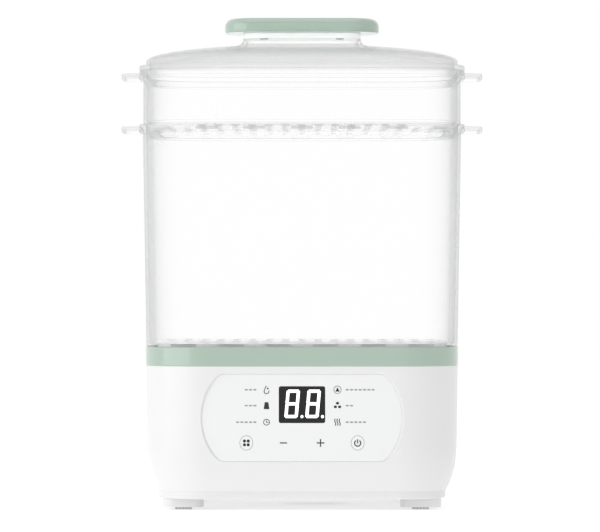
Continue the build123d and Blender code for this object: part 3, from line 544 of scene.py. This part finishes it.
def make_left_icons():
    """Programme marks on the left: a drop, a jar and a clock."""
    x = -icon_x
    top, middle, low = row_places
    drop = [(x - 0.1, top + 2.9), (x - 0.9, top + 1.3), (x - 1.6, top - 0.3), (x - 1.7, top - 1.4)]
    drop += loop_arc(x, top - drop_sink, drop_radius, drop_radius, 190, 190, 14)
    droplet = loop_arc(x + droplet_offset, top + droplet_offset, droplet_radius, droplet_radius)
    add_marks("drop_mark", stroke(drop, drop_line) + [droplet], materials["ink_dark"])
    jar = [(x - jar_foot, middle - jar_half_height), (x + jar_foot, middle - jar_half_height),
           (x + jar_shoulder, middle + jar_shoulder_rise), (x + jar_neck, middle + jar_half_height),
           (x - jar_neck, middle + jar_half_height), (x - jar_shoulder, middle + jar_shoulder_rise)]
    add_marks("jar_mark", [jar], materials["ink_dark"])
    clock = stroke(loop_arc(x, low, clock_radius, clock_radius), clock_line, closed=True)
    clock.append(bar(x, low + clock_hand / 2, clock_hand_line, clock_hand))
    clock.append(bar(x + clock_hand / 2, low - clock_hand_drop, clock_hand, clock_hand_line))
    add_marks("clock_mark", clock, materials["ink_dark"])


def make_right_icons():
    """Programme marks on the right: a ringed triangle, a fan and steam."""
    x = icon_x
    top, middle, low = row_places
    ringed = stroke(loop_arc(x, top, ring_mark_x, ring_mark_z), ring_mark_line, closed=True)
    add_marks("ring_mark", ringed, materials["ink_soft"])
    triangle = [(x - triangle_half, top - triangle_foot), (x + triangle_half, top - triangle_foot),
                (x, top + triangle_top)]
    add_marks("triangle_mark", [triangle], materials["ink_dark"])
    for number, turn in enumerate(blade_turns, start=1):
        away = math.radians(turn)
        blade = loop_arc(x + blade_out * math.cos(away), middle + blade_out * math.sin(away),
                         blade_radius_x, blade_radius_z, steps=18)
        add_marks(f"fan_mark_{number}", [blade], materials["ink_dark"])
    steam = []
    for column in steam_places:
        steam += stroke(wave_line(x + column, low, steam_height, steam_sway), steam_line)
    add_marks("steam_mark", steam, materials["ink_dark"])


def make_caption_rows():
    """Rows of short dashes where the panel's captions stand."""
    dashes = []
    for z, left_count, right_count in zip(row_places, caption_counts_left, caption_counts_right):
        for index in range(left_count):
            dashes.append(capsule(-caption_left - index * caption_pitch, z, caption_dash, caption_height))
        for index in range(right_count):
            dashes.append(capsule(caption_right + index * caption_pitch, z, caption_dash, caption_height))
    add_marks("caption_dashes", dashes, materials["ink_pale"])


# ----------------------------------------------------------------------------------------
# Lid
# ----------------------------------------------------------------------------------------
def dome_ring(grow, base, height, share):
    """The dome's outline at a share of its height."""
    scale = (1 - share ** 2) ** (1 / dome_power)
    return plan_ring(grow, base + share * height, scale=scale)


def neck_ring(grow, z):
    """The neck's outline grown by grow."""
    return plan_ring(grow, z, neck_width, neck_depth, neck_corner)


def dome_side(grow, foot_z, rise):
    """One side of the lid's wall, from its foot up over the dome to the neck."""
    rings = [plan_ring(grow, foot_z), plan_ring(grow, dome_base)]
    for step in range(1, dome_steps + 1):
        rings.append(dome_ring(grow, dome_base, rise, dome_share * step / dome_steps))
    for flare, lift in neck_flare:
        rings.append(neck_ring(grow + flare, dome_base + rise + lift))
    return rings


def make_lid():
    """The lid's clear wall, from its lip over the dome, and its frosted neck."""
    profile = [(lip_grow - lip_wall, lid_foot, 0), (lip_grow - lip_wall, lid_foot - lip_depth, 0.5 * MM),
               (lip_grow, lid_foot - lip_depth, 0.5 * MM), (lip_grow, lid_foot, 0),
               (rim_grow, lid_foot, 0.7 * MM), (rim_grow, flange_z, 1.0 * MM), (0, flange_z, 0)]
    skirt = [plan_ring(point.x, point.y) for point in rounded_profile(profile)]
    outside = dome_side(0, flange_z, dome_height)
    inside = dome_side(-lid_wall, lid_foot, dome_height - lid_wall)
    mesh = bmesh.new()
    add_bands(mesh, skirt + outside[1:] + inside[::-1], closed=True)
    bmesh.ops.remove_doubles(mesh, verts=mesh.verts[:], dist=weld)
    lid = add_piece("lid_clear_shell", mesh, "lid", materials["clear_plastic"], smooth=True)
    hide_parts("lid_shell")
    foot = dome_base + dome_height + neck_flare[-1][1]
    mesh = bmesh.new()
    add_bands(mesh, [neck_ring(-lid_wall, foot), neck_ring(0, foot), neck_ring(0, neck_top - neck_edge),
                     neck_ring(-neck_edge, neck_top - neck_ceiling_drop),
                     neck_ring(-neck_edge, neck_top - lid_wall),
                     neck_ring(-lid_wall, neck_top - lid_wall)], closed=True)
    add_piece("lid_neck", mesh, "lid", materials["frosted_plastic"], smooth=True)


# ----------------------------------------------------------------------------------------
# Chamber and upper tier
# ----------------------------------------------------------------------------------------
def ear_ring(side, inset, z):
    """Points round one ear's plan, inset evenly, its two outer corners rounded."""
    tip_x = cad_high.x - inset
    root_x = half_width + ear_root + inset
    slope = (ear_root_half - ear_tip_half) / (cad_high.x - half_width - ear_root)
    tip_y = ear_tip_half - inset * (math.sqrt(1 + slope ** 2) - slope)
    root_y = tip_y + slope * (tip_x - root_x)
    corner = Vector((tip_x, tip_y))
    start = corner + (Vector((root_x, root_y)) - corner).normalized() * (ear_corner - inset)
    end = corner - Vector((0, ear_corner - inset))
    upper = [Vector((root_x, root_y))]
    for step in range(ear_corner_steps + 1):
        share = step / ear_corner_steps
        upper.append((1 - share) ** 2 * start + 2 * share * (1 - share) * corner + share ** 2 * end)
    points = upper + [Vector((point.x, -point.y)) for point in upper[::-1]]
    return [Vector((side * point.x, point.y, z)) for point in points]


def make_ears(name, body, top):
    """The two carrying ears of a rim, hollow underneath."""
    foot = top - rim_height
    for side, word in ((-1, "left"), (1, "right")):
        mesh = bmesh.new()
        add_bands(mesh, [ear_ring(side, ear_wall, foot + ear_pocket_depth), ear_ring(side, ear_wall, foot),
                         ear_ring(side, ear_edge, foot), ear_ring(side, 0, foot + ear_edge),
                         ear_ring(side, 0, top - ear_edge), ear_ring(side, ear_edge, top)], cap_ends=True)
        add_piece(f"{name}_ear_{word}", mesh, body, materials["clear_plastic"], smooth=True)


def make_shell(name, node, body, profile, top):
    """A clear walled piece swept round the body's outline, with its ears."""
    mesh = bmesh.new()
    add_bands(mesh, [plan_ring(point.x, point.y) for point in rounded_profile(profile)], closed=True)
    shell = add_piece(name, mesh, body, materials["clear_plastic"], smooth=True)
    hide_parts(node)
    make_ears(node, body, top)


def make_chamber():
    """The main chamber: a tapered wall with a rim, on a spigot that drops inside the base's ring."""
    foot = ring_top
    top = chamber_high.z
    inner_foot = chamber_foot_grow - shell_wall
    profile = [(spigot_grow, spigot_foot, 0.6 * MM), (spigot_grow, foot, 0),
               (chamber_foot_grow, foot, 0.5 * MM), (chamber_top_grow, top - rim_height, 1.0 * MM),
               (rim_grow, top - rim_height, 0.8 * MM), (rim_grow, top, 0.8 * MM),
               (chamber_top_grow - shell_wall, top, 0.8 * MM), (inner_foot, foot + shell_wall, 1.0 * MM),
               (spigot_grow - shell_wall, foot + shell_wall, 0.6 * MM),
               (spigot_grow - shell_wall, spigot_foot, 0.6 * MM)]
    make_shell("chamber_clear_shell", "chamber", "chamber_shell", profile, top)


def make_tier():
    """The upper tier: a wall with a rim, over a skirt with a ledge that carries the tray."""
    foot = chamber_high.z
    top = tier_high.z
    floor = tier_low.z
    skirt_inner = tier_skirt_grow - tier_skirt_wall
    ledge_inner = skirt_inner - tier_ledge_width
    profile = [(tier_grow, foot, 0.3 * MM), (tier_grow, top - rim_height, 1.0 * MM),
               (rim_grow, top - rim_height, 0.8 * MM), (rim_grow, top, 0.8 * MM),
               (tier_grow - shell_wall, top, 0.8 * MM),
               (tier_grow - shell_wall, foot + tier_skirt_wall, 0.6 * MM),
               (skirt_inner, foot + tier_skirt_wall, 0.6 * MM),
               (skirt_inner, floor + tier_ledge_height, 0.5 * MM),
               (ledge_inner, floor + tier_ledge_height, 0.5 * MM), (ledge_inner, floor, 0.5 * MM),
               (tier_skirt_grow, floor, 0.6 * MM), (tier_skirt_grow, foot, 0)]
    make_shell("tier_clear_shell", "upper_tier", "tier", profile, top)


# ----------------------------------------------------------------------------------------
# Floor, light and camera
# ----------------------------------------------------------------------------------------
def stage_material():
    """The studio floor's matt white."""
    material, tree, shader = new_material("studio_white")
    tree.links.new(add_ramp(tree, add_noise(tree, 0.6), (0.93, 0.93, 0.93), (0.95, 0.95, 0.95)),
                   shader.inputs["Base Color"])
    shader.inputs["Roughness"].default_value = 0.9
    shader.inputs["Specular IOR Level"].default_value = 0.1
    shader.inputs["Emission Color"].default_value = (1, 1, 1, 1)
    shader.inputs["Emission Strength"].default_value = floor_glow
    return material


def make_stage():
    """A plain floor under the feet."""
    bpy.ops.mesh.primitive_plane_add(size=floor_size, location=(0, 0, cad_low.z))
    floor = bpy.context.object
    floor.name = "studio_floor"
    floor.data.materials.append(stage_material())


def area_light(name, place, target, size, power):
    """A rectangular lamp at place, aimed at target."""
    data = bpy.data.lights.new(name, "AREA")
    data.shape = "RECTANGLE"
    data.size = size[0]
    data.size_y = size[1]
    data.energy = power
    light = bpy.data.objects.new(name, data)
    bpy.context.scene.collection.objects.link(light)
    light.location = place
    light.rotation_euler = (Vector(target) - Vector(place)).to_track_quat("-Z", "Y").to_euler()


def make_lights():
    """A white studio: the backdrop shows white, and a softer share of it lights the object."""
    world = bpy.data.worlds.new("studio")
    bpy.context.scene.world = world
    world.use_nodes = True
    tree = world.node_tree
    background = tree.nodes["Background"]
    background.inputs["Strength"].default_value = backdrop_share
    backdrop = tree.nodes.new("ShaderNodeBackground")
    backdrop.inputs["Strength"].default_value = 1.0
    for node in (background, backdrop):
        node.inputs["Color"].default_value = (1, 1, 1, 1)
    path = tree.nodes.new("ShaderNodeLightPath")
    mix = tree.nodes.new("ShaderNodeMixShader")
    tree.links.new(path.outputs["Is Diffuse Ray"], mix.inputs["Fac"])
    tree.links.new(backdrop.outputs["Background"], mix.inputs[1])
    tree.links.new(background.outputs["Background"], mix.inputs[2])
    tree.links.new(mix.outputs["Shader"], tree.nodes["World Output"].inputs["Surface"])
    for name, place, target, size, power in studio_lights:
        area_light(name, place, target, size, power)


def make_camera():
    """A level camera in front of the object, with a long lens."""
    data = bpy.data.cameras.new("camera")
    data.lens = focal_length
    data.sensor_width = sensor_width
    data.shift_x = view_shift_x
    data.shift_y = view_shift_y
    data.clip_end = view_depth
    camera = bpy.data.objects.new("camera", data)
    bpy.context.scene.collection.objects.link(camera)
    camera.location = (0, -half_depth - camera_distance, eye_height)
    camera.rotation_euler = (math.radians(90), 0, 0)
    bpy.context.scene.camera = camera


make_display()
make_keys()
make_left_icons()
make_right_icons()
make_caption_rows()
make_lid()
make_chamber()
make_tier()
make_stage()
make_lights()
make_camera()
bpy.context.scene.view_settings.view_transform = "Standard"
